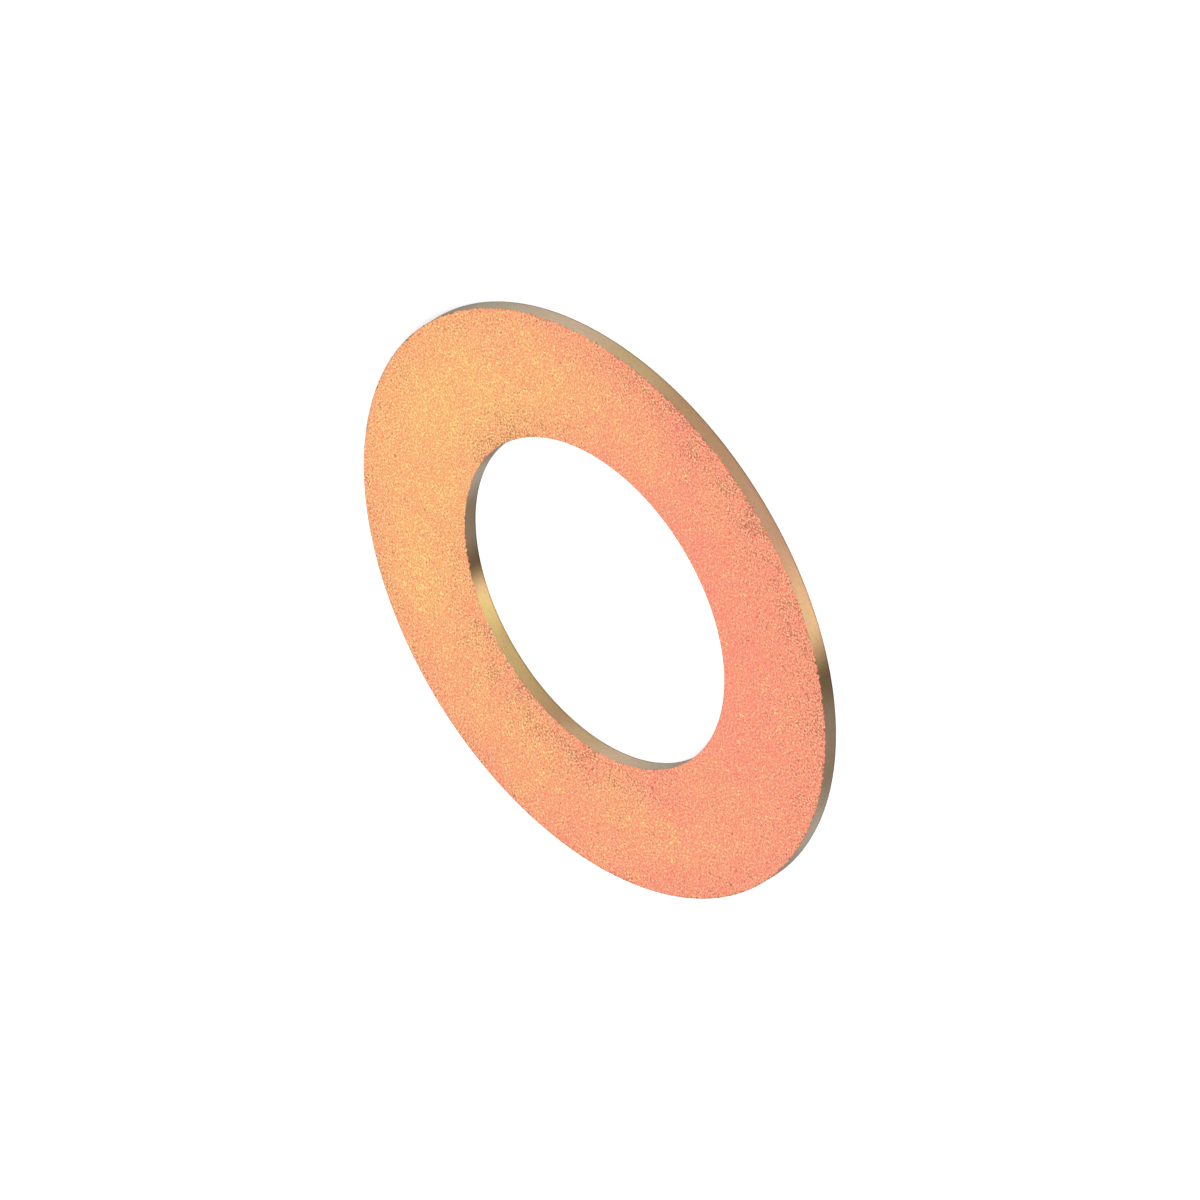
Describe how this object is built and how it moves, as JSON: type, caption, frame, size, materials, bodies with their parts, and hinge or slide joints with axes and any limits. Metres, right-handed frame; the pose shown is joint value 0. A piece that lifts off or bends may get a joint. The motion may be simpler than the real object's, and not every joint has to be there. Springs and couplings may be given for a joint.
{
  "type": "flat washer",
  "caption": "Thin flat round washer with a wide plain hole, blanked from steel sheet, with a yellow-orange iridescent plated finish.",
  "frame": {"origin": "on the bore axis, in the plane of the underside on which the washer lies", "axes": "+Z along the bore axis, from the underside up to the upper face; X and Y lie in the underside, and the shape is the same all round Z"},
  "size_m": [0.0508, 0.0508, 0.0013],
  "materials": {
    "yellow_zinc_steel": "zinc electroplate with a yellow chromate film: satin, finely grained, orange-gold on the faces and duller olive-gold on the cut edges"
  },
  "bodies": {
    "root": {"washer": "yellow_zinc_steel"}
  },
  "joints": []
}
